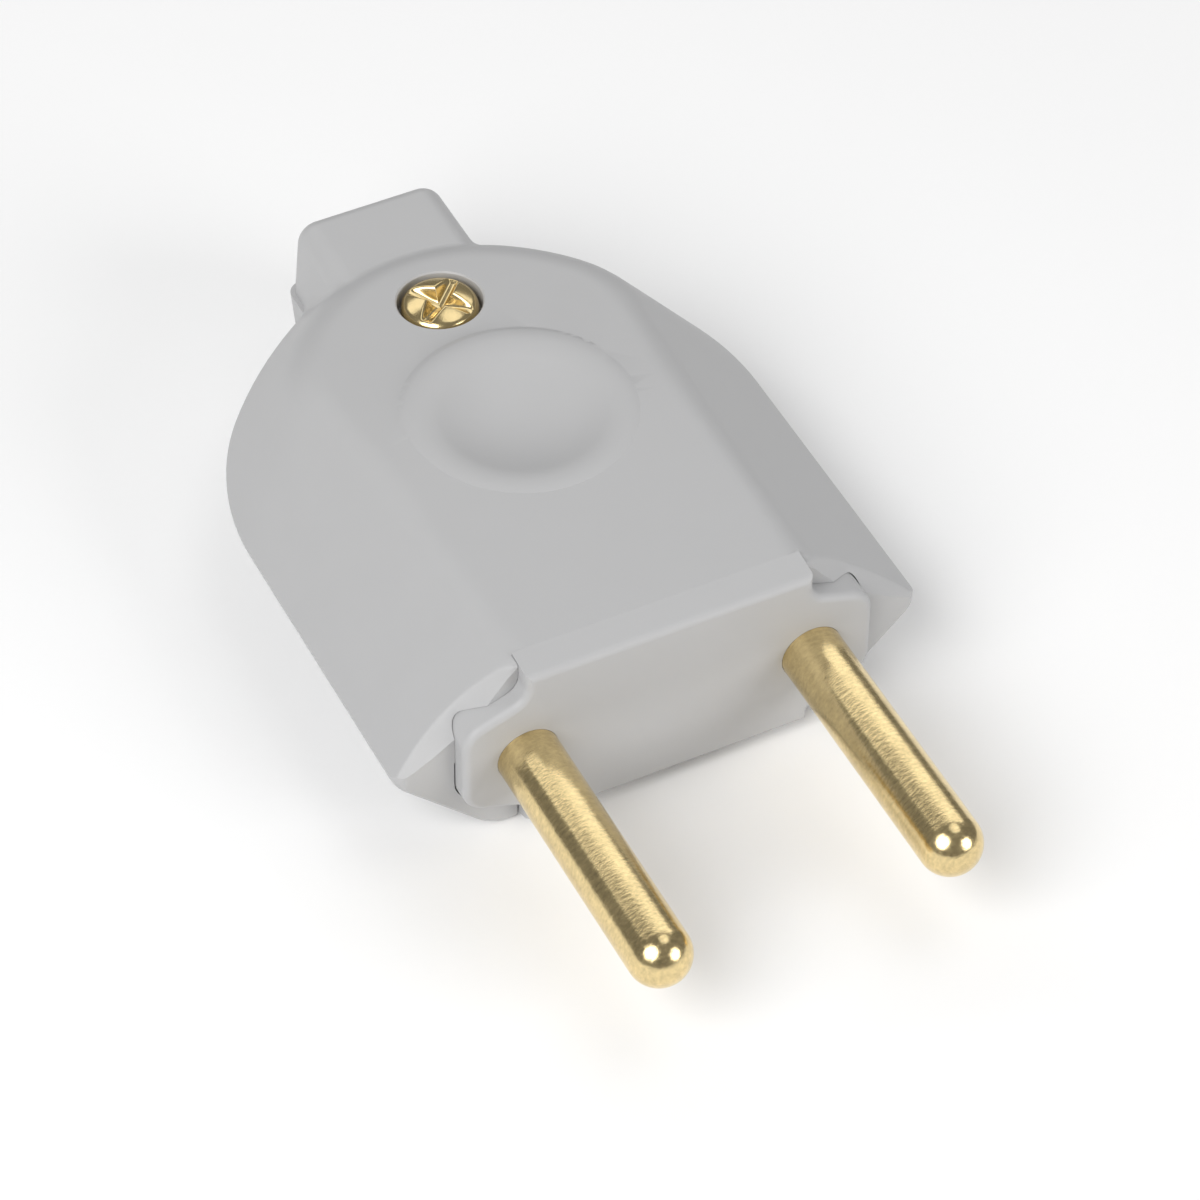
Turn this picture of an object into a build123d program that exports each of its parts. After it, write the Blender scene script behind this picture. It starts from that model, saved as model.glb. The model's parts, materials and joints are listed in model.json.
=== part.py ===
"""Two-pin mains plug with a split moulded housing, a pin carrier and one housing screw.

Frame, in millimetres: the origin lies midway between the two pins on the face that meets the
socket, the pins point along -Y, the cord leaves along +Y, and +Z is up through the housing screw.
"""

import os
from math import asin, atan2, cos, degrees, radians, sin, tan

from build123d import *

os.makedirs("parts", exist_ok=True)

# Socket side: round pins of the 10 A standard
pin_diameter = 4.0
pin_reach = 19.0
pin_spacing = 19.0

# Outside of the housing: plan at the parting plane, at the crown and at the base
body_width = 35.15
side_end = 22.4
shoulder_radius = 18.0
shoulder_turn = 38.5
haunch_radius = 33.3
haunch_turn = 20.0
crown_height = 6.7
crown_front_width = 19.2
crown_rear_width = 20.7
crown_side_end = 28.3
crown_corner_radius = 6.5
crown_haunch_radius = 8.0
crown_edge_radius = 3.4
base_depth = 6.9
base_width = 22.5
base_edge_radius = 3.4
base_band = 0.5
level_end = 17.0
bend_radius = 80.0
fall_angle = 2.9
wall = 1.8

# Front end of the housing
wing_setback = 1.3
crest_base_setback = 1.45
crest_setback = 2.5
crest_top_setback = 1.4
crest_edge_radius = 0.5
crest_rake = 1.3
crest_lift = 0.5
tip_radius = 0.9
wing_edge = 0.25
front_wall_end = 4.6

# Cord neck
neck_width = 10.8
neck_overlap = 0.35
neck_step = 0.64
neck_reach = 1.12
neck_length = 9.8
neck_draft = 5.0
neck_corner_radius = 1.5
neck_end_radius = 1.1
neck_root_radius = 1.5
cord_bore_diameter = 6.4
cord_bore_chamfer = 0.5

# Thumb dish
dish_spacing = 11.9
dish_pad_diameter = 16.6
dish_pad_rise = 0.02
dish_pad_edge = 1.1
dish_pad_depth = 0.6
dish_diameter = 11.2
dish_depth = 1.15
dish_edge_radius = 4.0

# Housing screw and nut
screw_inset = 10.48
screw_diameter = 2.9
screw_tip = -5.6
screw_head_diameter = 5.0
screw_head_height = 2.0
screw_head_dome = 0.7
screw_head_rise = 0.5
screw_clearance = 0.15
head_clearance = 0.25
well_edge = 0.1
slot_width = 1.0
slot_depth = 1.1
cross_span = 4.0
recess_angle = 50.0
boss_diameter = 8.0
nut_flats = 5.5
nut_thickness = 2.4
nut_sink = 0.1
nut_clearance = 0.08

# Pin carrier
tongue_width = 19.0
tongue_depth = 2.2
upper_tongue_fall = 0.3
lower_tongue_fall = 1.0
plate_width = 27.3
plate_inner_height = 4.65
plate_outer_height = 3.13
plate_depth = 2.9
plate_corner_radius = 1.8
plate_root_radius = 1.3
plate_edge_radius = 0.5
core_width = 26.4
core_height = 3.9
flange_depth = 1.8
flange_clearance = 0.25
upper_gap = 0.1
lower_gap = 0.3
opening_corner_radius = 1.2
opening_root_radius = 1.5

# Pins inside the housing
pin_hole_clearance = 0.05
pin_seat_depth = 0.1
pin_root_diameter = 3.4
collar_diameter = 6.4
collar_length = 1.2
barrel_diameter = 5.6
barrel_length = 9.8
barrel_chamfer = 0.4
wire_hole_diameter = 2.8
wire_hole_depth = 8.0
terminal_screw_diameter = 2.9
terminal_screw_length = 2.0
terminal_screw_sink = 0.2
terminal_setback = 4.0
terminal_slot_width = 0.6
terminal_slot_depth = 0.7

# Ribs inside each shell
rib_thickness = 1.4
rib_clearance = 0.1
rib_embed = 0.3
stop_rib_width = 12.0
barrier_gap = 1.2


def plan(front_width, rear_width, straight_end, corner, haunch, inset=0.0, front=-2.0):
    """Bullet plan of the housing at one level, drawn smaller by an inset."""
    with BuildSketch() as outline:
        with BuildLine():
            nose = Line((0, front), (front_width / 2 - inset, front))
            side = Line(nose @ 1, (rear_width / 2 - inset, straight_end))
            lean = degrees(atan2((side @ 1).X - (side @ 0).X, straight_end - front))
            shoulder = JernArc(side @ 1, side % 1, corner - inset, shoulder_turn + lean)
            flank = JernArc(shoulder @ 1, shoulder % 1, haunch - inset, haunch_turn)
            heading = shoulder_turn + haunch_turn
            tail_radius = (flank @ 1).X / cos(radians(heading))
            JernArc(flank @ 1, flank % 1, tail_radius, 90 - heading)
            mirror(about=Plane.YZ)
        make_face()
    return outline.sketch


def rim_plan(inset=0.0, front=-2.0):
    """Plan of the housing at the parting plane."""
    return plan(body_width, body_width, side_end, shoulder_radius, haunch_radius, inset, front)


# Places worked out from the sizes above
slope_angle = atan2(crown_height, (body_width - crown_front_width) / 2)
slope_length = crown_height / sin(slope_angle)
side_inset = wall / sin(slope_angle)
cavity_height = crown_height - wall
plate_back = front_wall_end + flange_depth
collar_end = plate_back + collar_length
barrel_end = collar_end + barrel_length
terminal_position = barrel_end - terminal_setback
tail_end = rim_plan().bounding_box().max.Y
neck_end = tail_end + neck_reach
neck_root = neck_end - neck_length
screw_position = tail_end - screw_inset
dish_position = screw_position - dish_spacing
barrier_end = screw_position - boss_diameter / 2 - barrier_gap
fall_start = level_end + bend_radius * tan(radians(fall_angle / 2))
fall_at_screw = (screw_position - fall_start) * tan(radians(fall_angle))
fall_at_neck = (neck_root - fall_start) * tan(radians(fall_angle))
neck_height = 2 * (crown_height - fall_at_neck - neck_step)
head_top = crown_height - fall_at_screw + screw_head_rise
head_seat = head_top - screw_head_height
nut_seat = nut_sink + nut_thickness - base_depth
base_lean = degrees(atan2((body_width - base_width) / 2, base_depth - base_band))
dish_top = crown_height + dish_pad_rise


def chamber_plan():
    """Plan of the chamber at the parting plane: chords of the housing's plan, one wall inside it."""
    corners = rim_plan(side_inset).vertices()
    with BuildSketch() as outline:
        with BuildLine():
            Polyline(*sorted(corners, key=lambda v: atan2(v.Y - side_end / 2, v.X)), close=True)
        make_face()
    return outline.sketch


def side_view():
    """Side view of the upper half: level stretch, soft bend and a gentle fall towards the tail."""
    with BuildSketch() as view:
        with BuildLine():
            base = Line((neck_end, 0), (wing_setback, 0))
            nose = Line(base @ 1, (wing_setback, crown_height))
            level = Line(nose @ 1, (level_end, crown_height))
            bend = JernArc(level @ 1, level % 1, bend_radius, -fall_angle)
            drop = (neck_end - (bend @ 1).X) * tan(radians(fall_angle))
            fall = Line(bend @ 1, (neck_end, (bend @ 1).Y - drop))
            Line(fall @ 1, base @ 0)
        make_face()
    return view.sketch


def nose_plan():
    """Plan with the two wing tips rounded off, open towards the tail."""
    with BuildSketch() as outline:
        with Locations((0, wing_setback)):
            Rectangle(body_width, neck_end, align=(Align.CENTER, Align.MIN))
        fillet(outline.vertices().sort_by(Axis.Y)[:2], radius=tip_radius)
    return outline.sketch


def neck_view(width):
    """Rear view of one half of the cord neck."""
    with BuildSketch() as view:
        with BuildLine():
            top = width / 2 - neck_height / 2 * tan(radians(neck_draft))
            Polyline((0, neck_height / 2), (top, neck_height / 2), (width / 2, 0), (0, 0))
            mirror(about=Plane.YZ)
        make_face()
        fillet(view.vertices().filter_by(lambda v: v.Y > 1), radius=neck_corner_radius)
    return view.sketch


def hexagon(width, height, gap=0.0):
    """Front view with the slope of the housing's sides, drawn larger by a gap."""
    half = width / 2 + gap / sin(slope_angle)
    rise = height + gap
    shoulder = half - rise / tan(slope_angle)
    with BuildSketch() as face:
        with BuildLine():
            Polyline((0, rise), (shoulder, rise), (half, 0))
            mirror(about=Plane.YZ)
            mirror(about=Plane.XZ)
        make_face()
    return face.sketch


def plate(gap=0.0, tongue=True, corner=plate_corner_radius, root=plate_root_radius):
    """Front view of the pin carrier, with or without its tongues, drawn larger by a gap."""
    with BuildSketch() as face:
        with BuildLine():
            inner = (tongue_width / 2, plate_inner_height)
            outer = (plate_width / 2, plate_outer_height)
            Polyline((0, plate_inner_height), inner, outer, (plate_width / 2, 0))
            mirror(about=Plane.YZ)
            mirror(about=Plane.XZ)
        make_face()
        corners = face.vertices().filter_by(lambda v: abs(v.X) > tongue_width / 2 + 1)
        fillet(corners, radius=corner)
        if tongue:
            Rectangle(tongue_width, 2 * base_depth)
            roots = face.vertices().filter_by(lambda v: abs(abs(v.Y) - plate_inner_height) < 0.01)
            fillet(roots, radius=root)
        if gap:
            offset(amount=gap)
    return face.sketch


# Cut that bows the crest of a wing back from the socket
with BuildPart() as crest_cut:
    outward = Vector(sin(slope_angle), 0, cos(slope_angle))
    crest_plane = Plane(Vector(body_width / 2, 0, 0) + outward * crest_lift, (0, 1, 0), outward)
    with BuildSketch(crest_plane):
        with BuildLine():
            run = crest_rake * crest_lift
            crest = ThreePointArc(
                (crest_base_setback + run, 0),
                (crest_setback + run, slope_length / 2),
                (crest_top_setback + run, slope_length),
            )
            Polyline(crest @ 1, (-crown_height, slope_length), (-crown_height, 0), crest @ 0)
        make_face()
    extrude(amount=crown_height, dir=Vector(0, -crest_rake, 0) - outward)

# Outside of the upper shell
with BuildPart() as upper_form:
    with BuildSketch(Plane.XY):
        add(rim_plan())
    with BuildSketch(Plane.XY.offset(crown_height)):
        add(
            plan(
                crown_front_width,
                crown_rear_width,
                crown_side_end,
                crown_corner_radius,
                crown_haunch_radius,
            )
        )
    loft(ruled=True)
    with BuildSketch(Plane.YZ):
        add(side_view())
    extrude(amount=body_width, both=True, mode=Mode.INTERSECT)
    with BuildSketch(Plane.XY):
        add(nose_plan())
    extrude(amount=crown_height, mode=Mode.INTERSECT)
    crown_edges = upper_form.edges().filter_by(lambda e: e.center().Z > cavity_height)
    fillet(crown_edges.filter_by(Axis.X, reverse=True), radius=crown_edge_radius)
    with BuildSketch(Plane.XZ.offset(-neck_end)):
        add(neck_view(neck_width))
    extrude(amount=neck_length)
    neck_joint = upper_form.edges(Select.NEW).filter_by(lambda e: e.center().Z > 0.01)
    fillet(neck_joint, radius=neck_root_radius)
    neck_rim = upper_form.edges().group_by(Axis.Y)[-1].filter_by(lambda e: e.center().Z > 0.01)
    fillet(neck_rim, radius=neck_end_radius)
    add(crest_cut.part, mode=Mode.SUBTRACT)
    mirror(crest_cut.part, about=Plane.YZ, mode=Mode.SUBTRACT)
    front_edges = upper_form.edges().filter_by(lambda e: 1 < (e @ 0.5).Z and (e @ 0.5).Y < level_end / 2)
    crests = front_edges.filter_by(lambda e: abs((e @ 0.5).Y - crest_setback) < crest_edge_radius)
    fillet(crests, radius=crest_edge_radius)

# Outside of the lower shell, drawn upside down
with BuildPart() as lower_form:
    with BuildSketch(Plane.XY.offset(base_band)):
        add(rim_plan(front=-body_width))
    extrude(amount=base_depth - base_band)
    sides = lower_form.faces().filter_by(Axis.Z, reverse=True)
    draft(sides, neutral_plane=Plane.XY.offset(base_band), angle=base_lean)
    with BuildSketch(Plane.XY):
        add(rim_plan())
    extrude(amount=base_band)
    with BuildSketch(Plane.XY):
        add(nose_plan())
    extrude(amount=base_depth, mode=Mode.INTERSECT)
    base_edges = lower_form.edges().filter_by(lambda e: e.center().Z > cavity_height)
    fillet(base_edges.filter_by(Axis.X, reverse=True), radius=base_edge_radius)
    with BuildSketch(Plane.XZ.offset(-neck_end)):
        add(neck_view(neck_width + 2 * neck_overlap))
    extrude(amount=neck_length)
    neck_rim = lower_form.edges().group_by(Axis.Y)[-1].filter_by(lambda e: e.center().Z > 0.01)
    fillet(neck_rim, radius=neck_end_radius)
    wing_edges = lower_form.edges().group_by(Axis.Y)[0].filter_by(lambda e: e.center().Z > 0.01)
    chamfer(wing_edges, length=wing_edge)

# Hollow of one half: chamber behind the front wall and the cord bore
with BuildPart() as hollow_half:
    with BuildSketch(Plane.XY):
        add(chamber_plan())
    extrude(amount=cavity_height, taper=90 - degrees(slope_angle))
    split(bisect_by=Plane.XZ.offset(-front_wall_end), keep=Keep.BOTTOM)
    with BuildSketch(Plane.XZ.offset(-neck_end)):
        Circle(cord_bore_diameter / 2)
    extrude(amount=neck_end - screw_position - boss_diameter / 2)
    with BuildSketch(Plane.XZ.offset(-neck_end)):
        Circle(cord_bore_diameter / 2 + cord_bore_chamfer)
    extrude(amount=cord_bore_chamfer, taper=45)

# Ribs and screw boss of one half
with BuildPart() as ribs_half:
    with BuildSketch(Plane.XY.offset(rib_clearance)):
        stop_front = plate_back + rib_clearance
        with Locations((0, stop_front + rib_thickness / 2)):
            Rectangle(stop_rib_width, rib_thickness)
        with Locations((0, (stop_front + barrier_end) / 2)):
            Rectangle(rib_thickness, barrier_end - stop_front)
    extrude(amount=cavity_height - rib_clearance + rib_embed)
    with BuildSketch(Plane.XY):
        with Locations((0, screw_position)):
            Circle(boss_diameter / 2)
    extrude(amount=cavity_height + rib_embed)

# Raised pad that carries the thumb dish
with BuildPart() as dish_pad:
    with BuildSketch(Plane.XY.offset(cavity_height + rib_embed)):
        with Locations((0, dish_position)):
            Circle(dish_pad_diameter / 2)
    extrude(amount=dish_top - cavity_height - rib_embed)
    pad_top = dish_pad.faces().sort_by(Axis.Z)[-1]
    chamfer(pad_top.edges(), length=dish_pad_edge, length2=dish_pad_depth, reference=pad_top)

with BuildPart() as upper_shell:
    add(upper_form.part)
    add(dish_pad.part)
    dish_radius = ((dish_diameter / 2) ** 2 + dish_depth**2) / (2 * dish_depth)
    with Locations((0, dish_position, dish_top + dish_radius - dish_depth)):
        Sphere(dish_radius, rotation=(90, 0, 0), mode=Mode.SUBTRACT)
    fillet(upper_shell.edges(Select.NEW).sort_by(Axis.Z)[-1], radius=dish_edge_radius)
    add(hollow_half.part, mode=Mode.SUBTRACT)
    add(ribs_half.part)
    with BuildSketch(Plane.XY):
        with Locations((0, screw_position)):
            Circle(screw_diameter / 2 + screw_clearance)
    extrude(amount=body_width, mode=Mode.SUBTRACT)
    with BuildSketch(Plane.XY.offset(head_seat)):
        with Locations((0, screw_position)):
            Circle(screw_head_diameter / 2 + head_clearance)
    extrude(amount=body_width, mode=Mode.SUBTRACT)
    chamfer(upper_shell.edges(Select.NEW).sort_by(Axis.Z)[-1], length=well_edge)
    with BuildSketch(Plane.XZ.offset(-tongue_depth)):
        add(plate(upper_gap, True, opening_corner_radius, opening_root_radius))
    extrude(amount=body_width, mode=Mode.SUBTRACT)
    with BuildSketch(Plane.XZ.offset(-plate_depth - upper_gap)):
        add(plate(upper_gap, False, opening_corner_radius))
    extrude(amount=body_width, mode=Mode.SUBTRACT)
    with BuildSketch(Plane.XZ.offset(-front_wall_end)):
        add(hexagon(core_width, core_height, upper_gap))
    extrude(amount=body_width, mode=Mode.SUBTRACT)

with BuildPart() as lower_shell:
    mirror(lower_form.part, about=Plane.XY)
    mirror(hollow_half.part, about=Plane.XY, mode=Mode.SUBTRACT)
    mirror(ribs_half.part, about=Plane.XY)
    with BuildSketch(Plane.XY):
        with Locations((0, screw_position)):
            Circle(screw_diameter / 2 + screw_clearance)
    extrude(amount=-body_width, mode=Mode.SUBTRACT)
    with BuildSketch(Plane.XY.offset(nut_seat)):
        with Locations((0, screw_position)):
            RegularPolygon(nut_flats / 2 + nut_clearance, 6, major_radius=False)
    extrude(amount=-body_width, mode=Mode.SUBTRACT)
    with BuildSketch(Plane.XZ.offset(-tongue_depth)):
        add(plate(lower_gap))
    extrude(amount=body_width, mode=Mode.SUBTRACT)
    with BuildSketch(Plane.XZ.offset(-plate_depth - upper_gap)):
        add(plate(lower_gap, tongue=False))
    extrude(amount=body_width, mode=Mode.SUBTRACT)
    with BuildSketch(Plane.XZ.offset(-front_wall_end)):
        add(hexagon(core_width, core_height, upper_gap))
    extrude(amount=body_width, mode=Mode.SUBTRACT)

with BuildPart() as pin_carrier:
    with BuildSketch(Plane.XZ):
        add(plate())
    extrude(amount=-tongue_depth)
    with BuildSketch(Plane.YZ):
        with BuildLine():
            Polyline(
                (0, crown_height - upper_tongue_fall),
                (tongue_depth, crown_height),
                (tongue_depth, -base_depth),
                (0, lower_tongue_fall - base_depth),
                close=True,
            )
        make_face()
    extrude(amount=plate_width, both=True, mode=Mode.INTERSECT)
    fillet(pin_carrier.edges().group_by(Axis.Y)[0], radius=plate_edge_radius)
    with BuildSketch(Plane.XZ.offset(-tongue_depth)):
        add(plate(tongue=False))
    extrude(amount=tongue_depth - plate_depth)
    with BuildSketch(Plane.XZ.offset(-plate_depth)):
        add(hexagon(core_width, core_height))
    extrude(amount=plate_depth - front_wall_end - flange_clearance)
    with BuildSketch(Plane.XZ.offset(-front_wall_end - flange_clearance)):
        add(hexagon(body_width - 2 * side_inset, cavity_height, -flange_clearance))
    extrude(amount=front_wall_end + flange_clearance - plate_back)
    with BuildSketch(Plane.XZ):
        with GridLocations(pin_spacing, 1, 2, 1):
            Circle(pin_root_diameter / 2 + pin_hole_clearance)
    extrude(amount=-body_width, mode=Mode.SUBTRACT)
    with BuildSketch(Plane.XZ):
        with GridLocations(pin_spacing, 1, 2, 1):
            Circle(pin_diameter / 2 + pin_hole_clearance)
    extrude(amount=-pin_seat_depth, mode=Mode.SUBTRACT)

with BuildPart() as pin:
    with BuildSketch(Plane.XY):
        with BuildLine():
            tip = JernArc((0, -pin_reach), (1, 0), pin_diameter / 2, 90)
            Polyline(
                tip @ 1,
                (pin_diameter / 2, pin_seat_depth),
                (pin_root_diameter / 2, pin_seat_depth),
                (pin_root_diameter / 2, plate_back),
                (collar_diameter / 2, plate_back),
                (collar_diameter / 2, collar_end),
                (barrel_diameter / 2, collar_end),
                (barrel_diameter / 2, barrel_end),
                (0, barrel_end),
                tip @ 0,
            )
        make_face()
    revolve(axis=Axis.Y)
    chamfer(pin.edges().group_by(Axis.Y)[-1], length=barrel_chamfer)
    with BuildSketch(Plane.XZ.offset(-barrel_end)):
        Circle(wire_hole_diameter / 2)
    extrude(amount=wire_hole_depth, mode=Mode.SUBTRACT)
    with BuildSketch(Plane.XY):
        with Locations((0, terminal_position)):
            Circle(terminal_screw_diameter / 2)
    extrude(amount=barrel_diameter, mode=Mode.SUBTRACT)

with BuildPart() as terminal_screw:
    screw_top = barrel_diameter / 2 - terminal_screw_sink
    with BuildSketch(Plane.XY.offset(screw_top)):
        with Locations((0, terminal_position)):
            Circle(terminal_screw_diameter / 2)
    extrude(amount=-terminal_screw_length)
    with BuildSketch(Plane.XY.offset(screw_top)):
        with Locations((0, terminal_position)):
            Rectangle(terminal_screw_diameter, terminal_slot_width)
    extrude(amount=-terminal_slot_depth, mode=Mode.SUBTRACT)

with BuildPart() as pin_left:
    with Locations((-pin_spacing / 2, 0, 0)):
        add(pin.part)

with BuildPart() as pin_right:
    with Locations((pin_spacing / 2, 0, 0)):
        add(pin.part)

with BuildPart() as terminal_screw_left:
    with Locations((-pin_spacing / 2, 0, 0)):
        add(terminal_screw.part)

with BuildPart() as terminal_screw_right:
    with Locations((pin_spacing / 2, 0, 0)):
        add(terminal_screw.part)

with BuildPart() as housing_screw:
    with BuildSketch(Plane.XZ.offset(-screw_position)):
        with BuildLine():
            dome_radius = ((screw_head_diameter / 2) ** 2 + screw_head_dome**2) / (2 * screw_head_dome)
            dome_turn = degrees(asin(screw_head_diameter / 2 / dome_radius))
            dome = JernArc((0, head_top), (1, 0), dome_radius, -dome_turn)
            Polyline(
                dome @ 1,
                (screw_head_diameter / 2, head_seat),
                (screw_diameter / 2, head_seat),
                (screw_diameter / 2, screw_tip),
                (0, screw_tip),
                dome @ 0,
            )
        make_face()
    revolve(axis=Axis((0, screw_position, 0), (0, 0, 1)))
    with BuildSketch(Plane.XY.offset(head_top)):
        with Locations((0, screw_position)):
            Rectangle(screw_head_diameter, slot_width, rotation=-recess_angle)
            Rectangle(slot_width, cross_span, rotation=-recess_angle)
    extrude(amount=-slot_depth, mode=Mode.SUBTRACT)

with BuildPart() as housing_nut:
    with BuildSketch(Plane.XY.offset(nut_seat)):
        with Locations((0, screw_position)):
            RegularPolygon(nut_flats / 2, 6, major_radius=False)
            Circle(screw_diameter / 2, mode=Mode.SUBTRACT)
    extrude(amount=-nut_thickness)

upper_shell.part.label = "upper_shell"
export_step(upper_shell.part, "parts/upper_shell.step")
lower_shell.part.label = "lower_shell"
export_step(lower_shell.part, "parts/lower_shell.step")
pin_carrier.part.label = "pin_carrier"
export_step(pin_carrier.part, "parts/pin_carrier.step")
pin_left.part.label = "pin_left"
export_step(pin_left.part, "parts/pin_left.step")
pin_right.part.label = "pin_right"
export_step(pin_right.part, "parts/pin_right.step")
terminal_screw_left.part.label = "terminal_screw_left"
export_step(terminal_screw_left.part, "parts/terminal_screw_left.step")
terminal_screw_right.part.label = "terminal_screw_right"
export_step(terminal_screw_right.part, "parts/terminal_screw_right.step")
housing_screw.part.label = "housing_screw"
export_step(housing_screw.part, "parts/housing_screw.step")
housing_nut.part.label = "housing_nut"
export_step(housing_nut.part, "parts/housing_nut.step")
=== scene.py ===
"""Looks of the two-pin plug: moulded housing, turned brass pins and pressed brass screw, on a pale floor.

All lengths are in metres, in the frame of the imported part: the pins point along -Y, the cord neck along +Y.
"""

import json
import math
from typing import NamedTuple

import bmesh
import bpy
from bpy.props import FloatProperty, FloatVectorProperty, IntProperty, PointerProperty
from mathutils import Matrix, Vector
from mathutils.bvhtree import BVHTree


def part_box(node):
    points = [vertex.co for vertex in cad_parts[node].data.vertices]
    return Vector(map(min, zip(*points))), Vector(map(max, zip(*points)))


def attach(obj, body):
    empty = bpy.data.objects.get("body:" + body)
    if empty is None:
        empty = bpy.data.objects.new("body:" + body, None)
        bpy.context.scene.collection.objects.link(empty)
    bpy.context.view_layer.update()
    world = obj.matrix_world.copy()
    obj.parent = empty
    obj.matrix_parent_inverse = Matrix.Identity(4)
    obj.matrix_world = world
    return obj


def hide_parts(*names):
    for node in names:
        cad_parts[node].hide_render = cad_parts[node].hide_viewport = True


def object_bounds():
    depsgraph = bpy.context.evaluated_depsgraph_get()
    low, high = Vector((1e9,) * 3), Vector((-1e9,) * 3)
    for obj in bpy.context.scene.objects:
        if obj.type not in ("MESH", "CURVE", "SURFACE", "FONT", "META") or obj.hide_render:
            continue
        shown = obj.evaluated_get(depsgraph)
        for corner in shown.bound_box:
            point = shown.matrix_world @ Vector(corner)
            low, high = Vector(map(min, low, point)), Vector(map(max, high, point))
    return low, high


bl_info = {
    "name": "Two-pin plug",
    "version": (1, 0, 0),
    "blender": (4, 5, 0),
    "location": "3D View > Sidebar > Plug",
    "description": "Dresses the packed two-pin plug and sets its studio",
    "category": "Object",
}

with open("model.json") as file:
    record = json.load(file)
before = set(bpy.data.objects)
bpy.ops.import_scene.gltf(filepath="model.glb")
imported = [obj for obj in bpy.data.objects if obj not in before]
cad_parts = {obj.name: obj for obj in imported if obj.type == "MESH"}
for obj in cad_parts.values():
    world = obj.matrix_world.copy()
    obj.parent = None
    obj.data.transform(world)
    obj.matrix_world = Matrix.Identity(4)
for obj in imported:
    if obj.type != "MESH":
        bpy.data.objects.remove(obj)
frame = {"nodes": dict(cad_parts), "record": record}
CAD_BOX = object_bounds()
MOUNTS = {mount["name"]: mount for mount in frame["record"]["mounts"]}
BODY = "root"
MM = 0.001
# Points closer than this are one point
WELD = MM / 1000
# Points closer than this are merged beside a bored hole, where the cut leaves slivers
SLIVER = MM * 0.03
# Width of the camera's sensor in millimetres
SENSOR_WIDTH = 36.0
# Start of the camera's view, as a share of its distance
CLIP_SHARE = 0.01
# Places of the colour sockets on a Mix node, whose names are shared with its other sockets
MIX_LOW, MIX_HIGH, MIX_RESULT = 6, 7, 2

PINS = ("pin_left", "pin_right")
PIN_LEFT, PIN_RIGHT = MOUNTS["left_pin"]["pos_m"][0], MOUNTS["right_pin"]["pos_m"][0]
PIN_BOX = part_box("pin_left")
SCREW_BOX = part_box("housing_screw")

# Node trees


class Value:
    """A number that changes over a surface; arithmetic on it adds Math nodes."""

    def __init__(self, nodes, socket):
        self.nodes = nodes
        self.socket = socket

    def __add__(self, other):
        return self.nodes.math("ADD", self, other)

    def __sub__(self, other):
        return self.nodes.math("SUBTRACT", self, other)

    def __rsub__(self, other):
        return self.nodes.math("SUBTRACT", other, self)

    def __mul__(self, other):
        return self.nodes.math("MULTIPLY", self, other)

    def __truediv__(self, other):
        return self.nodes.math("DIVIDE", self, other)

    def __rtruediv__(self, other):
        return self.nodes.math("DIVIDE", other, self)

    def __gt__(self, other):
        return self.nodes.math("GREATER_THAN", self, other)

    def __abs__(self):
        return self.nodes.math("ABSOLUTE", self)

    __radd__ = __add__
    __rmul__ = __mul__


class Nodes:
    """A node tree whose nodes all come from one method."""

    def __init__(self, tree):
        self.tree = tree

    def link(self, socket, value):
        """Sets an input socket to a plain value, or links it to a Value."""
        if isinstance(value, Value):
            self.tree.links.new(value.socket, socket)
        else:
            socket.default_value = value

    def node(self, kind, settings=None, inputs=None, output=0):
        """Adds a node, makes its settings, fills its inputs and gives one of its outputs, if any."""
        node = self.tree.nodes.new(kind)
        for name, setting in (settings or {}).items():
            setattr(node, name, setting)
        for key, value in (inputs or {}).items():
            self.link(node.inputs[key], value)
        return Value(self, node.outputs[output]) if node.outputs else None

    def math(self, operation, *operands):
        return self.node("ShaderNodeMath", {"operation": operation}, dict(enumerate(operands)))

    def vector(self, x=0.0, y=0.0, z=0.0):
        return self.node("ShaderNodeCombineXYZ", inputs={"X": x, "Y": y, "Z": z})

    def axis(self, vector, name):
        """One of the X, Y and Z of a vector."""
        return self.node("ShaderNodeSeparateXYZ", inputs={"Vector": vector}, output=name)


class Paint(Nodes):
    """The node tree of one material."""

    def __init__(self, name):
        self.material = bpy.data.materials.new(name)
        self.material.use_nodes = True
        super().__init__(self.material.node_tree)
        self.shader = self.tree.nodes["Principled BSDF"]

    def place(self, stretch):
        """Object coordinates, with a stretch along each axis."""
        spot = self.node("ShaderNodeTexCoord", output="Object")
        return self.node("ShaderNodeVectorMath", {"operation": "MULTIPLY"}, {0: spot, 1: stretch})

    def noise(self, size, detail=2.0, rough=0.5, stretch=(1, 1, 1)):
        """Noise from 0 to 1 whose blobs are about one size across."""
        inputs = {
            "Vector": self.place(stretch),
            "Scale": 1 / size,
            "Detail": detail,
            "Roughness": rough,
        }
        return self.node("ShaderNodeTexNoise", inputs=inputs)

    def blend(self, factor, low, high):
        """Colour between two others."""
        settings = {"data_type": "RGBA"}
        inputs = {"Factor": factor, MIX_LOW: (*low, 1), MIX_HIGH: (*high, 1)}
        return self.node("ShaderNodeMix", settings, inputs, output=MIX_RESULT)

    def wander(self, mean, *swings):
        """A value that wanders round a mean with noises from 0 to 1, each given with its swing."""
        value = mean - sum(swing for _, swing in swings) / 2
        for noise, swing in swings:
            value = noise * swing + value
        return value

    def bump(self, height, depth):
        """Bends the shader's normal by a height from 0 to 1 that stands for a real depth."""
        return self.node("ShaderNodeBump", inputs={"Distance": depth, "Height": height}, output="Normal")

    def finish(self, **sockets):
        """Sets the shader's own sockets, named with underscores for spaces."""
        for name, value in sockets.items():
            self.link(self.shader.inputs[name.replace("_", " ")], value)
        return self.material


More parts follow.
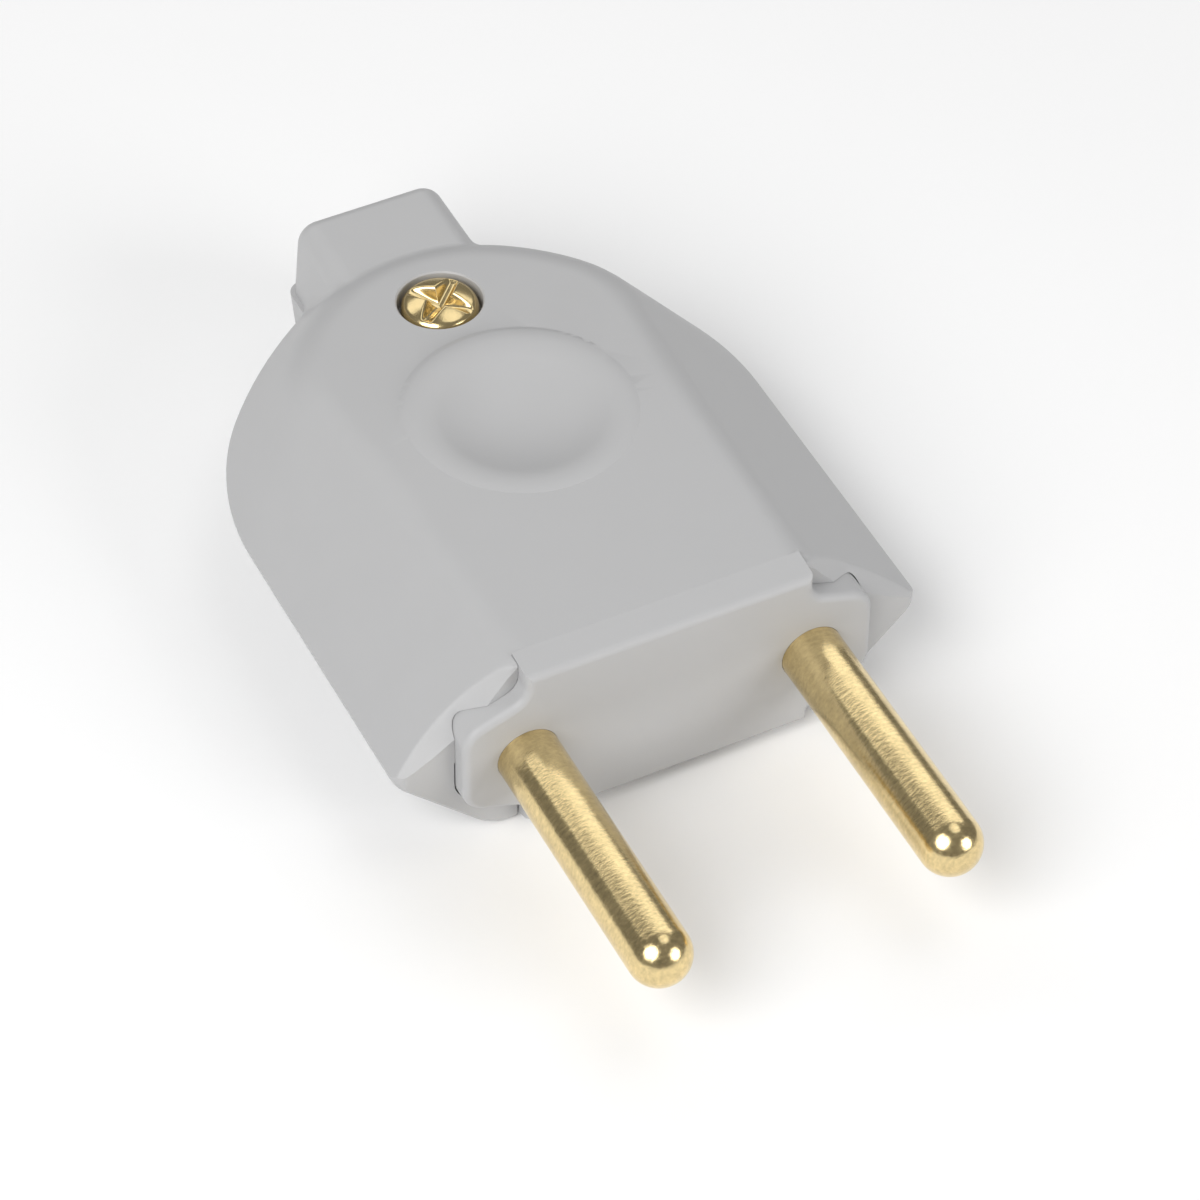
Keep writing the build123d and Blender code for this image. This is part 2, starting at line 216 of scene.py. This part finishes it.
class Shape(Nodes):
    """A geometry tree that makes pieces from an outline with the radius in X and the height in Z."""

    def __init__(self, name):
        super().__init__(bpy.data.node_groups.new(name, "GeometryNodeTree"))
        self.tree.is_modifier = True
        self.tree.interface.new_socket("Pieces", in_out="OUTPUT", socket_type="NodeSocketGeometry")
        self.outline = self.input("Outline", "Geometry")

    def input(self, name, kind):
        """Adds a named input to the tree."""
        self.tree.interface.new_socket(name, in_out="INPUT", socket_type="NodeSocket" + kind)
        return self.node("NodeGroupInput", output=name)

    def move(self, geometry, position):
        return self.node("GeometryNodeSetPosition", inputs={"Geometry": geometry, "Position": position})

    def spin(self, sides):
        """Turns the outline about Z, by a grid with a row for each point and a column for each side."""
        rows = self.node("GeometryNodeAttributeDomainSize", inputs={"Geometry": self.outline})
        columns = sides + 1
        grid = self.node("GeometryNodeMeshGrid", inputs={"Vertices X": rows, "Vertices Y": columns})
        index = self.node("GeometryNodeInputIndex")
        row = self.math("FLOOR", index / columns)
        angle = (index - row * columns) / sides * -math.tau
        settings = {"data_type": "FLOAT_VECTOR"}
        inputs = {"Geometry": self.outline, "Value": self.node("GeometryNodeInputPosition"), "Index": row}
        point = self.node("GeometryNodeSampleIndex", settings, inputs)
        radius = self.axis(point, "X")
        x = radius * self.math("COSINE", angle)
        y = radius * self.math("SINE", angle)
        turned = self.move(grid, self.vector(x, y, self.axis(point, "Z")))
        return self.node("GeometryNodeMergeByDistance", inputs={"Geometry": turned, "Distance": WELD})

    def smooth(self, geometry, sharp_angle):
        """Shades faces smooth, apart from edges that turn by more than the sharp angle."""
        inputs = {"Geometry": geometry, "Shade Smooth": True}
        soft = self.node("GeometryNodeSetShadeSmooth", {"domain": "FACE"}, inputs)
        crisp = self.node("GeometryNodeInputMeshEdgeAngle") > sharp_angle
        inputs = {"Geometry": soft, "Selection": crisp, "Shade Smooth": False}
        return self.node("GeometryNodeSetShadeSmooth", {"domain": "EDGE"}, inputs)

    def finish(self, geometry, material):
        """Ends the tree with real meshes in one material."""
        whole = self.node("GeometryNodeRealizeInstances", inputs={"Geometry": geometry})
        painted = self.node("GeometryNodeSetMaterial", inputs={"Geometry": whole, "Material": material})
        self.node("NodeGroupOutput", inputs={"Pieces": painted})
        return self.tree


# Materials

NOISE_MIDDLE = 0.5
MOTTLE_SHARE = 0.6
DENT_SHARE = 0.7
SCRATCH_STRETCH = (1, 0.2, 1)
PAPER_MOTTLE = 0.005


def shade(colour, change):
    """A colour made lighter or darker by a share of itself."""
    return tuple(min(1.0, channel * (1 + change)) for channel in colour)


def moulded_plastic(name, look):
    """Satin grey plastic with a fine spark-eroded grain, faint mottling and shallow mould waves."""
    paint = Paint(name)
    grain = paint.noise(look.grain_size, detail=3.0, rough=0.6)
    mottle = paint.noise(look.mottle_size, detail=4.0)
    waves = paint.noise(look.wave_size, detail=1.0)
    tone = mottle * MOTTLE_SHARE + grain * (1 - MOTTLE_SHARE)
    colour = paint.blend(tone, shade(look.colour, -look.mottle), shade(look.colour, look.mottle))
    relief = grain * look.grain_depth + waves * look.wave_depth
    depth = look.grain_depth + look.wave_depth
    return paint.finish(
        Base_Color=colour,
        Roughness=paint.wander(look.roughness, (grain, look.grain_dulling), (mottle, look.mottle_dulling)),
        Normal=paint.bump(relief / depth, depth),
        IOR=1.46,
    )


def turned_brass(name, look):
    """Satin brass with short turning marks round the pin, flecks and a little tarnish."""
    paint = Paint(name)
    drag = look.mark_pitch / look.mark_length
    marks = paint.noise(look.mark_pitch, detail=2.0, rough=0.6, stretch=(drag, 1, drag))
    flecks = paint.noise(look.fleck_size, detail=4.0, rough=0.7)
    tarnish = paint.noise(look.tarnish_size, detail=3.0)
    speckle = (marks + flecks) / 2
    tone = (speckle - NOISE_MIDDLE) * look.fleck_contrast + tarnish
    colour = paint.blend(tone, shade(look.colour, -look.tarnish), shade(look.colour, look.tarnish))
    return paint.finish(
        Base_Color=colour,
        Metallic=1.0,
        Roughness=paint.wander(look.roughness, (marks, look.mark_dulling), (flecks, look.fleck_dulling)),
        Normal=paint.bump(speckle, look.mark_depth),
    )


def bright_brass(name, look):
    """Bright pressed brass of the screws and nut, with faint dents and scratches."""
    paint = Paint(name)
    dents = paint.noise(look.dent_size, detail=2.0)
    scratches = paint.noise(look.scratch_size, detail=4.0, rough=0.7, stretch=SCRATCH_STRETCH)
    colour = paint.blend(dents, shade(look.colour, -look.tarnish), shade(look.colour, look.tarnish))
    return paint.finish(
        Base_Color=colour,
        Metallic=1.0,
        Roughness=paint.wander(look.roughness, (scratches, look.scratch_dulling)),
        Normal=paint.bump(dents * DENT_SHARE + scratches * (1 - DENT_SHARE), look.dent_depth),
    )


def floor_paint(name, look):
    """Matt white paper, with a faint tooth."""
    paint = Paint(name)
    tooth = paint.noise(look.paper_tooth, detail=3.0)
    paper = look.floor_colour
    colour = paint.blend(tooth, shade(paper, -PAPER_MOTTLE), shade(paper, PAPER_MOTTLE))
    return paint.finish(Base_Color=colour, Roughness=0.9, Specular_IOR_Level=0.1)


# Meshes


def add_piece(name, mesh, material, slot, *nodes):
    """Adds a finished mesh as a piece that rides on the plug and stands for CAD nodes."""
    piece = bpy.data.objects.new(name, mesh)
    bpy.context.scene.collection.objects.link(piece)
    mesh.materials.clear()
    mesh.materials.append(material)
    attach(piece, BODY)
    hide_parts(*nodes)
    return piece


def moulded_skin(node, sharp_angle):
    """Merged copy of a moulded node, smooth between its sharp edges."""
    mesh = bpy.data.meshes.new(node + "_skin")
    shape = bmesh.new()
    shape.from_mesh(frame["nodes"][node].data)
    bmesh.ops.remove_doubles(shape, verts=shape.verts, dist=WELD)
    for face in shape.faces:
        face.smooth = True
    for edge in shape.edges:
        edge.smooth = edge.is_manifold and edge.calc_face_angle() < sharp_angle
    shape.to_mesh(mesh)
    shape.free()
    return mesh


def close_up(mesh, node, reach, share_closed):
    """Draws the points of a mesh that lie within reach of a node towards it, by a share of the gap."""
    shape = bmesh.new()
    shape.from_mesh(frame["nodes"][node].data)
    surface = BVHTree.FromBMesh(shape)
    shape.free()
    for point in mesh.vertices:
        nearest, *_ = surface.find_nearest(point.co, reach)
        if nearest is not None:
            point.co = point.co.lerp(nearest, share_closed)


def weigh_normals(piece):
    """Keeps flat faces flat in shading where they run into rounded edges."""
    weighted = piece.modifiers.new("Flat faces first", "WEIGHTED_NORMAL")
    weighted.mode = "FACE_AREA_WITH_ANGLE"
    weighted.weight = 80
    weighted.keep_sharp = True


def arc(centre_radius, centre_height, radius, start, end, steps):
    """Points of an arc in an outline, from one angle to another, where 0 points outwards and 90 up."""
    angles = [math.radians(start + (end - start) * step / steps) for step in range(steps + 1)]
    return [
        (centre_radius + radius * math.cos(angle), centre_height + radius * math.sin(angle))
        for angle in angles
    ]


def shape_outline(name, points, tree, **inputs):
    """Runs a geometry tree on an outline of (radius, height) points and gives a plain mesh."""
    outline = bpy.data.meshes.new(name)
    edges = [(index, index + 1) for index in range(len(points) - 1)]
    outline.from_pydata([(radius, 0, height) for radius, height in points], edges, [])
    carrier = bpy.data.objects.new(name, outline)
    bpy.context.scene.collection.objects.link(carrier)
    modifier = carrier.modifiers.new(name, "NODES")
    modifier.node_group = tree
    for socket in tree.interface.items_tree:
        key = socket.name.lower().replace(" ", "_")
        if socket.in_out == "INPUT" and key in inputs:
            modifier[socket.identifier] = inputs[key]
    graph = bpy.context.evaluated_depsgraph_get()
    mesh = bpy.data.meshes.new_from_object(carrier.evaluated_get(graph), depsgraph=graph)
    carrier.modifiers.remove(modifier)
    bpy.data.objects.remove(carrier)
    bpy.data.meshes.remove(outline)
    return mesh


# Settings


def length(name, description, default):
    """A size in the panel, whose default is given in millimetres."""
    return FloatProperty(
        name=name, description=description, subtype="DISTANCE", unit="LENGTH", default=default * MM
    )


def share(name, description, default):
    return FloatProperty(
        name=name, description=description, subtype="FACTOR", default=default, min=0, max=1
    )


def turn(name, description, default):
    """An angle in the panel, whose default is given in degrees."""
    return FloatProperty(
        name=name, description=description, subtype="ANGLE", unit="ROTATION", default=math.radians(default)
    )


def tint(name, description, default):
    return FloatVectorProperty(
        name=name, description=description, subtype="COLOR", default=default, min=0, max=1
    )


def amount(name, description, default):
    return FloatProperty(name=name, description=description, default=default, min=0)


def facets(name, description, default):
    return IntProperty(name=name, description=description, default=default, min=3)


class PlugMouldSettings(bpy.types.PropertyGroup):
    """Look of the moulded pieces."""

    colour: tint("Colour", "Colour of the light grey plastic", (0.470, 0.470, 0.473))
    roughness: share("Roughness", "Mean roughness of the satin surface", 0.46)
    mottle: share("Mottle", "Share by which the colour wanders", 0.025)
    mottle_size: length("Mottle size", "Width of a patch of colour", 3.0)
    mottle_dulling: share("Mottle dulling", "Swing of the roughness with the mottling", 0.08)
    grain_size: length("Grain size", "Width of a grain of the mould's surface", 0.12)
    grain_depth: length("Grain depth", "Depth of the grain", 0.004)
    grain_dulling: share("Grain dulling", "Swing of the roughness with the grain", 0.1)
    wave_size: length("Wave size", "Width of a shallow mould wave", 9.0)
    wave_depth: length("Wave depth", "Depth of a mould wave", 0.04)
    fit_reach: length("Fit reach", "Widest gap between two pieces that is drawn closer", 0.34)
    fit_share: share("Fit share", "Share of such a gap that is closed", 0.7)
    sharp_angle: turn("Sharp angle", "Edges that turn by more than this stay crisp", 32)


class PlugPinSettings(bpy.types.PropertyGroup):
    """Size and look of the turned pins."""

    radius: length("Radius", "Radius of a pin", MOUNTS["left_pin"]["dims"]["r_mm"])
    seat: length("Seat", "Depth of the straight part behind the carrier's face", 0.1)
    root_radius: length("Root radius", "Radius of the part held in the carrier", 1.7)
    collar_radius: length("Collar radius", "Radius of the collar behind the carrier", 3.2)
    collar_start: length("Collar start", "Place of the collar's front", 6.4)
    collar_end: length("Collar end", "Place of the collar's back", 7.6)
    barrel_radius: length("Barrel radius", "Radius of the terminal barrel", 2.8)
    barrel_edge: length("Barrel edge", "Chamfer at the end of the barrel", 0.4)
    wire_radius: length("Wire radius", "Radius of the hole for the wire", 1.4)
    wire_depth: length("Wire depth", "Depth of the hole for the wire", 8.0)
    screw_radius: length("Screw radius", "Radius of the hole for the terminal screw", 1.45)
    screw_place: length("Screw place", "Place of the terminal screw along the pin", 13.4)
    sides: facets("Sides", "Facets round a pin", 96)
    tip_rows: facets("Tip rows", "Rows of facets on the round tip", 24)
    sharp_angle: turn("Sharp angle", "Edges that turn by more than this stay crisp", 32)
    colour: tint("Colour", "Colour of the satin brass", (0.79, 0.625, 0.325))
    roughness: share("Roughness", "Mean roughness of the turned surface", 0.19)
    mark_pitch: length("Mark pitch", "Width of a turning mark", 0.2)
    mark_length: length("Mark length", "Length of a turning mark round the pin", 0.5)
    mark_depth: length("Mark depth", "Depth of the turning marks and flecks", 0.017)
    mark_dulling: share("Mark dulling", "Swing of the roughness with the marks", 0.08)
    fleck_size: length("Fleck size", "Width of a bright or dull fleck", 0.24)
    fleck_dulling: share("Fleck dulling", "Swing of the roughness with the flecks", 0.1)
    fleck_contrast: amount("Fleck contrast", "Strength of the flecks and marks against the patches", 3.0)
    tarnish: share("Tarnish", "Share by which the colour wanders", 0.18)
    tarnish_size: length("Tarnish size", "Width of a patch of colour", 2.0)


class PlugScrewSettings(bpy.types.PropertyGroup):
    """Size of the pressed housing screw, and look of all the fasteners."""

    shank_radius: length("Shank radius", "Radius of the screw's shank, just inside the nut's bore", 1.43)
    head_height: length("Head height", "Height of the head from its seat to its top", 1.94)
    dome: length("Dome", "Rise of the domed top above its rim", 0.7)
    rim_radius: length("Rim radius", "Radius of the rounded rim", 0.8)
    slot_width: length("Slot width", "Width of the slot and of the cross bar at their floor", 0.5)
    slot_depth: length("Slot depth", "Depth of the recess below the top", 1.1)
    cross_span: length("Cross span", "Length of the bar across the slot", 4.0)
    recess_turn: turn("Recess turn", "Turn of the slot from the plug's cross axis", -50)
    recess_round: length("Recess round", "Rounding of the recess's pressed edges", 0.5)
    recess_slope: amount("Recess slope", "Rise of the recess's walls for each step outwards", 2.4)
    floor_slope: amount("Floor slope", "Rise of the recess's floor for each step from its middle", 0.26)
    sides: facets("Sides", "Facets round the head", 240)
    rim_rows: facets("Rim rows", "Rows of facets on the rounded rim", 12)
    rows: facets("Rows", "Rows of facets on the domed top", 64)
    sharp_angle: turn("Sharp angle", "Edges that turn by more than this stay crisp", 80)
    colour: tint("Colour", "Colour of the bright brass", (0.76, 0.60, 0.31))
    roughness: share("Roughness", "Mean roughness of the bright surface", 0.19)
    dent_size: length("Dent size", "Width of a faint dent", 0.5)
    dent_depth: length("Dent depth", "Depth of the dents and scratches", 0.008)
    scratch_size: length("Scratch size", "Width of a scratch", 0.1)
    scratch_dulling: share("Scratch dulling", "Swing of the roughness with the scratches", 0.16)
    tarnish: share("Tarnish", "Share by which the colour wanders", 0.06)


class PlugStageSettings(bpy.types.PropertyGroup):
    """Camera, floor and lights."""

    azimuth: turn("Azimuth", "Turn of the camera from straight in front of the pins", -27.014)
    elevation: turn("Elevation", "Height of the camera above the horizon", 46.054)
    roll: turn("Roll", "Turn of the camera about its line of sight", 0.684)
    distance: length("Distance", "Distance from the camera to the point it looks at", 299.18)
    aim: FloatVectorProperty(
        name="Aim",
        description="Point that the camera looks at",
        subtype="XYZ",
        unit="LENGTH",
        default=(-0.02 * MM, 9.5 * MM, 0.0),
    )
    lens: FloatProperty(
        name="Lens",
        description="Focal length of the camera in millimetres",
        unit="CAMERA",
        default=147.33,
        min=1,
    )
    floor_colour: tint("Floor colour", "Colour of the paper floor", (0.97, 0.97, 0.97))
    floor_size: length("Floor size", "Width of the paper floor", 1200)
    paper_tooth: length("Paper tooth", "Width of a fibre of the paper", 0.4)
    sky: amount("Sky", "Glow of the dim room all round", 0.22)
    left_glow: amount("Left glow", "Glow of the softbox on the left", 5.0)
    front_glow: amount("Front glow", "Glow of the small softbox in front, on the right", 4.7)
    top_glow: amount("Top glow", "Glow of the softbox overhead", 1.1)
    rear_glow: amount("Rear glow", "Glow of the long strip light above and behind", 1.1)
    reach: length("Reach", "Distance from the plug to each softbox", 500)


# Lights


class Softbox(NamedTuple):
    """A soft light: its outline, its direction from the plug, its size and the setting of its glow."""

    outline: str
    direction: tuple
    size: tuple
    glow: str


SOFTBOXES = {
    "left_softbox": Softbox("ELLIPSE", (-0.66, -0.32, 0.68), (0.40, 0.40), "left_glow"),
    "front_softbox": Softbox("ELLIPSE", (0.54, -0.74, 0.40), (0.28, 0.28), "front_glow"),
    "top_softbox": Softbox("ELLIPSE", (0.31, 0.03, 0.95), (0.30, 0.26), "top_glow"),
    "rear_strip": Softbox("RECTANGLE", (0.17, 0.68, 0.71), (0.9, 0.23), "rear_glow"),
}
# Share of its bounding rectangle that an outline fills
OUTLINE_FILL = {"ELLIPSE": math.pi / 4, "RECTANGLE": 1}

# Operators


class PLUG_OT_dress_housing(bpy.types.Operator):
    """Dresses the two halves of the moulded housing."""

    bl_idname = "plug.dress_housing"
    bl_label = "Dress housing"

    def execute(self, context):
        look = context.scene.plug_mould
        plastic = moulded_plastic("housing_plastic", look)
        for node in ("upper_shell", "lower_shell"):
            skin = moulded_skin(node, look.sharp_angle)
            close_up(skin, "pin_carrier", look.fit_reach, look.fit_share)
            piece = add_piece(node + "_moulding", skin, plastic, "housing", node)
            weigh_normals(piece)
        return {"FINISHED"}


class PLUG_OT_dress_carrier(bpy.types.Operator):
    """Dresses the moulded carrier that holds the pins."""

    bl_idname = "plug.dress_carrier"
    bl_label = "Dress pin carrier"

    def execute(self, context):
        look = context.scene.plug_mould
        plastic = moulded_plastic("carrier_plastic", look)
        skin = moulded_skin("pin_carrier", look.sharp_angle)
        for pin in PINS:
            close_up(skin, pin, look.fit_reach, look.fit_share)
        piece = add_piece("pin_carrier_moulding", skin, plastic, "carrier", "pin_carrier")
        weigh_normals(piece)
        return {"FINISHED"}


class PLUG_OT_turn_pins(bpy.types.Operator):
    """Turns the two brass pins with their collars and terminal barrels."""

    bl_idname = "plug.turn_pins"
    bl_label = "Turn pins"

    def execute(self, context):
        pin = context.scene.plug_pins
        brass = turned_brass("turned_brass", pin)
        mesh = shape_outline(
            "turned_pins",
            self.outline(pin),
            self.tree(),
            sides=pin.sides,
            sharp_angle=pin.sharp_angle,
            screw_radius=pin.screw_radius,
            screw_place=pin.screw_place,
            screw_reach=2 * pin.barrel_radius,
            first_pin=PIN_LEFT,
            pin_spacing=PIN_RIGHT - PIN_LEFT,
            material=brass,
        )
        mesh.transform(Matrix.Rotation(-math.pi / 2, 4, "X"))
        add_piece("turned_pins", mesh, brass, "pin_brass", *PINS)
        return {"FINISHED"}

    def outline(self, pin):
        """Half outline of a pin, from its round tip to the bottom of the wire hole."""
        tip, end = PIN_BOX[0].y, PIN_BOX[1].y
        return [
            *arc(0, tip + pin.radius, pin.radius, -90, 0, pin.tip_rows),
            (pin.radius, pin.seat),
            (pin.root_radius, pin.seat),
            (pin.root_radius, pin.collar_start),
            (pin.collar_radius, pin.collar_start),
            (pin.collar_radius, pin.collar_end),
            (pin.barrel_radius, pin.collar_end),
            (pin.barrel_radius, end - pin.barrel_edge),
            (pin.barrel_radius - pin.barrel_edge, end),
            (pin.wire_radius, end),
            (pin.wire_radius, end - pin.wire_depth),
            (0, end - pin.wire_depth),
        ]

    def tree(self):
        """Spins the outline, bores the hole for the terminal screw and sets the pins side by side."""
        shape = Shape("Turned pins")
        sides = shape.input("Sides", "Int")
        sharp_angle = shape.input("Sharp angle", "Float")
        screw_radius = shape.input("Screw radius", "Float")
        screw_place = shape.input("Screw place", "Float")
        screw_reach = shape.input("Screw reach", "Float")
        first_pin = shape.input("First pin", "Float")
        spacing = shape.input("Pin spacing", "Float")
        material = shape.input("Material", "Material")
        inputs = {"Vertices": sides, "Radius": screw_radius, "Depth": screw_reach}
        drill = shape.node("GeometryNodeMeshCylinder", inputs=inputs)
        inputs = {
            "Geometry": drill,
            "Translation": shape.vector(y=screw_reach / -2, z=screw_place),
            "Rotation": (math.pi / 2, 0, 0),
        }
        drill = shape.node("GeometryNodeTransform", inputs=inputs)
        inputs = {"Mesh 1": shape.spin(sides), "Mesh 2": drill}
        settings = {"operation": "DIFFERENCE", "solver": "EXACT"}
        bored = shape.node("GeometryNodeMeshBoolean", settings, inputs)
        height = shape.axis(shape.node("GeometryNodeInputPosition"), "Z")
        near_bore = height > screw_place - screw_radius * 2
        inputs = {"Geometry": bored, "Selection": near_bore, "Distance": SLIVER}
        bored = shape.node("GeometryNodeMergeByDistance", inputs=inputs)
        inputs = {
            "Count": len(PINS),
            "Start Location": shape.vector(x=first_pin),
            "Offset": shape.vector(x=spacing),
        }
        line = shape.node("GeometryNodeMeshLine", inputs=inputs)
        inputs = {"Points": line, "Instance": shape.smooth(bored, sharp_angle)}
        pair = shape.node("GeometryNodeInstanceOnPoints", inputs=inputs)
        return shape.finish(pair, material)


class PLUG_OT_press_screw(bpy.types.Operator):
    """Presses the housing screw with its domed head and rounded cross recess."""

    bl_idname = "plug.press_screw"
    bl_label = "Press housing screw"

    def execute(self, context):
        screw = context.scene.plug_screw
        brass = bright_brass("pressed_brass", screw)
        mesh = shape_outline(
            "pressed_screw",
            self.outline(screw),
            self.tree(),
            sides=screw.sides,
            sharp_angle=screw.sharp_angle,
            slot_width=screw.slot_width,
            cross_span=screw.cross_span,
            floor=SCREW_BOX[1].z - screw.slot_depth,
            turn=screw.recess_turn,
            round=screw.recess_round,
            slope=screw.recess_slope,
            floor_slope=screw.floor_slope,
            material=brass,
        )
        centre = (SCREW_BOX[0] + SCREW_BOX[1]) / 2
        mesh.transform(Matrix.Translation((centre.x, centre.y, 0)))
        add_piece("pressed_screw", mesh, brass, "fastener_brass", "housing_screw")
        return {"FINISHED"}

    def outline(self, screw):
        """Half outline of the screw, from the end of its shank to the middle of its domed head."""
        tip, top = SCREW_BOX[0].z, SCREW_BOX[1].z
        head_radius = (SCREW_BOX[1].x - SCREW_BOX[0].x) / 2
        seat = top - screw.head_height
        dome_radius = (head_radius**2 + screw.dome**2) / (2 * screw.dome)
        rim_turn = math.acos((head_radius - screw.rim_radius) / (dome_radius - screw.rim_radius))
        rim_height = top - dome_radius + (dome_radius - screw.rim_radius) * math.sin(rim_turn)
        meeting = math.degrees(rim_turn)
        return [
            (0, tip),
            (screw.shank_radius, tip),
            (screw.shank_radius, seat),
            (head_radius, seat),
            *arc(head_radius - screw.rim_radius, rim_height, screw.rim_radius, 0, meeting, screw.rim_rows),
            *arc(0, top - dome_radius, dome_radius, meeting, 90, screw.rows)[1:],
        ]

    def tree(self):
        """Spins the outline and presses a slot and a shorter cross bar into the domed head."""
        shape = Shape("Pressed screw")
        sides = shape.input("Sides", "Int")
        sharp_angle = shape.input("Sharp angle", "Float")
        slot_width = shape.input("Slot width", "Float")
        cross_span = shape.input("Cross span", "Float")
        floor = shape.input("Floor", "Float")
        turn_angle = shape.input("Turn", "Float")
        rounding = shape.input("Round", "Float")
        slope = shape.input("Slope", "Float")
        floor_slope = shape.input("Floor slope", "Float")
        material = shape.input("Material", "Material")
        place = shape.node("GeometryNodeInputPosition")
        x, y, z = (shape.axis(place, name) for name in "XYZ")
        along_x = shape.math("COSINE", turn_angle)
        along_y = shape.math("SINE", turn_angle)
        along = abs(x * along_x + y * along_y)
        across = abs(y * along_x - x * along_y)
        slot = across - slot_width / 2
        bar = shape.math("MAXIMUM", along - slot_width / 2, across - cross_span / 2)
        outside = shape.math("MINIMUM", slot, bar)
        floor = floor + shape.math("MAXIMUM", along, across) * floor_slope
        wall = floor + shape.math("SMOOTH_MAX", outside * slope, 0.0, rounding)
        pressed = shape.math("SMOOTH_MIN", z, wall, rounding)
        head = shape.move(shape.spin(sides), shape.vector(x, y, pressed))
        return shape.finish(shape.smooth(head, sharp_angle), material)


class PLUG_OT_dress_fasteners(bpy.types.Operator):
    """Gives the terminal screws and the nut their bright brass."""

    bl_idname = "plug.dress_fasteners"
    bl_label = "Dress fasteners"

    def execute(self, context):
        brass = bright_brass("bright_brass", context.scene.plug_screw)
        for node in ("housing_nut", "terminal_screw_left", "terminal_screw_right"):
            slot = frame["nodes"][node].material_slots[0]
            slot.link = "OBJECT"
            slot.material = brass
        return {"FINISHED"}


class PLUG_OT_set_stage(bpy.types.Operator):
    """Sets the floor, the soft lights and the camera."""

    bl_idname = "plug.set_stage"
    bl_label = "Set stage"

    def execute(self, context):
        stage = context.scene.plug_stage
        context.scene.view_settings.view_transform = "Standard"
        self.lay_floor(context.scene, stage)
        self.hang_lights(context.scene, stage)
        self.set_camera(context.scene, stage)
        return {"FINISHED"}

    def lay_floor(self, scene, stage):
        """Lays a sheet of paper under the plug."""
        shape = bmesh.new()
        bmesh.ops.create_grid(shape, x_segments=1, y_segments=1, size=stage.floor_size / 2)
        bmesh.ops.translate(shape, verts=shape.verts, vec=(0, 0, CAD_BOX[0].z))
        mesh = bpy.data.meshes.new("paper_floor")
        shape.to_mesh(mesh)
        shape.free()
        mesh.materials.append(floor_paint("paper", stage))
        floor = bpy.data.objects.new("paper_floor", mesh)
        scene.collection.objects.link(floor)

    def hang_lights(self, scene, stage):
        """Sets the dim glow of the room and hangs the soft lights."""
        world = bpy.data.worlds.new("studio")
        world.use_nodes = True
        background = world.node_tree.nodes["Background"]
        background.inputs["Strength"].default_value = stage.sky
        background.inputs["Color"].default_value = (1, 1, 1, 1)
        scene.world = world
        for name, box in SOFTBOXES.items():
            self.hang_softbox(scene, stage, name, box)

    def hang_softbox(self, scene, stage, name, box):
        """Hangs a soft light that faces the plug."""
        light = bpy.data.lights.new(name, "AREA")
        light.shape = box.outline
        light.size, light.size_y = box.size
        area = box.size[0] * box.size[1] * OUTLINE_FILL[box.outline]
        light.energy = getattr(stage, box.glow) * math.pi * area
        lamp = bpy.data.objects.new(name, light)
        scene.collection.objects.link(lamp)
        way = Vector(box.direction).normalized()
        facing = way.to_track_quat("Z", "Y").to_matrix().to_4x4()
        lamp.matrix_world = Matrix.Translation(way * stage.reach) @ facing

    def set_camera(self, scene, stage):
        """Sets the camera that was fitted to the photograph."""
        lens = bpy.data.cameras.new("camera")
        lens.lens = stage.lens
        lens.sensor_width = SENSOR_WIDTH
        lens.clip_start = stage.distance * CLIP_SHARE
        camera = bpy.data.objects.new("camera", lens)
        scene.collection.objects.link(camera)
        level = math.cos(stage.elevation)
        back = Vector(
            (
                math.sin(stage.azimuth) * level,
                -math.cos(stage.azimuth) * level,
                math.sin(stage.elevation),
            )
        )
        place = Matrix.Translation(Vector(stage.aim) + back * stage.distance)
        facing = (-back).to_track_quat("-Z", "Y").to_matrix().to_4x4()
        camera.matrix_world = place @ facing @ Matrix.Rotation(stage.roll, 4, "Z")
        scene.camera = camera


class PLUG_PT_panel(bpy.types.Panel):
    """Buttons that dress the plug and set its stage."""

    bl_idname = "PLUG_PT_panel"
    bl_label = "Two-pin plug"
    bl_space_type = "VIEW_3D"
    bl_region_type = "UI"
    bl_category = "Plug"

    def draw(self, context):
        for operator in OPERATORS:
            self.layout.operator(operator.bl_idname)


SETTINGS = {
    "plug_mould": PlugMouldSettings,
    "plug_pins": PlugPinSettings,
    "plug_screw": PlugScrewSettings,
    "plug_stage": PlugStageSettings,
}
OPERATORS = (
    PLUG_OT_dress_housing,
    PLUG_OT_dress_carrier,
    PLUG_OT_turn_pins,
    PLUG_OT_press_screw,
    PLUG_OT_dress_fasteners,
    PLUG_OT_set_stage,
)
CLASSES = (*SETTINGS.values(), *OPERATORS, PLUG_PT_panel)


def register():
    for cls in CLASSES:
        bpy.utils.register_class(cls)
    for name, group in SETTINGS.items():
        setattr(bpy.types.Scene, name, PointerProperty(type=group))


def unregister():
    for name in SETTINGS:
        delattr(bpy.types.Scene, name)
    for cls in reversed(CLASSES):
        bpy.utils.unregister_class(cls)


def main():
    register()
    bpy.ops.plug.dress_housing()
    bpy.ops.plug.dress_carrier()
    bpy.ops.plug.turn_pins()
    bpy.ops.plug.press_screw()
    bpy.ops.plug.dress_fasteners()
    bpy.ops.plug.set_stage()


if __name__ == "__main__":
    main()
